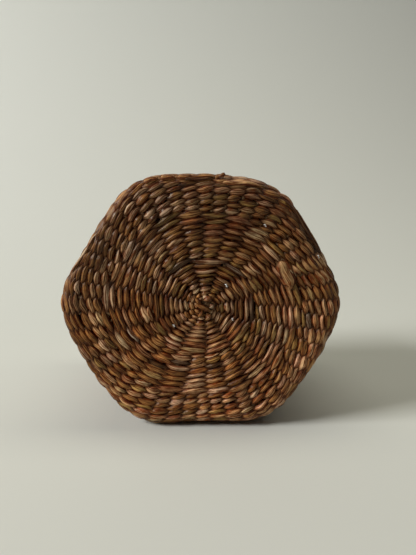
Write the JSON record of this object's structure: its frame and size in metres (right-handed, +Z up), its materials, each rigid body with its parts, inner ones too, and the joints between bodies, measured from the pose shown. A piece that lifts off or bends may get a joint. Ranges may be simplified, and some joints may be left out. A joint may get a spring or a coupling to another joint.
{
  "type": "woven lidded box",
  "caption": "Six-sided box of twined brown rush with a pull-off lid that slides on a woven collar; shown standing on one side wall, lid to the front.",
  "frame": {"origin": "middle of the footprint of the box as it stands on one side wall, on the surface that it stands on", "axes": "+Z up; the box's own axis lies along Y, with the lid's face towards -Y and the base towards +Y; two corners of the hexagon point along +X and -X"},
  "size_m": [0.1726, 0.1164, 0.16],
  "materials": {
    "rush_weave": "two-strand twined brown rush, smooth shiny strands with olive, red-brown and tan streaks",
    "rush_cord": "thicker twisted rush rows at the edges and rims, satin",
    "straw_stakes": "flat dried straws, satin"
  },
  "bodies": {
    "body": {"base_weave": "rush_weave", "base_edge_cord": "rush_cord", "wall_weave": "rush_weave", "mouth_border": "rush_cord", "collar_weave": "rush_weave", "collar_border": "rush_cord", "body_stakes_1": "straw_stakes", "body_stakes_2": "straw_stakes", "body_stakes_3": "straw_stakes", "body_stakes_4": "straw_stakes", "body_stakes_5": "straw_stakes", "body_stakes_6": "straw_stakes"},
    "lid": {"lid_top_weave": "rush_weave", "lid_edge_cord": "rush_cord", "lid_skirt_weave": "rush_weave", "lid_border": "rush_cord", "lid_stakes_1": "straw_stakes", "lid_stakes_2": "straw_stakes", "lid_stakes_3": "straw_stakes", "lid_stakes_4": "straw_stakes", "lid_stakes_5": "straw_stakes", "lid_stakes_6": "straw_stakes"}
  },
  "joints": [
    {"name": "lid_pull", "type": "slide", "parent": "body", "child": "lid", "axis": [0, -1, 0], "range_m": [0, 0.12]}
  ]
}
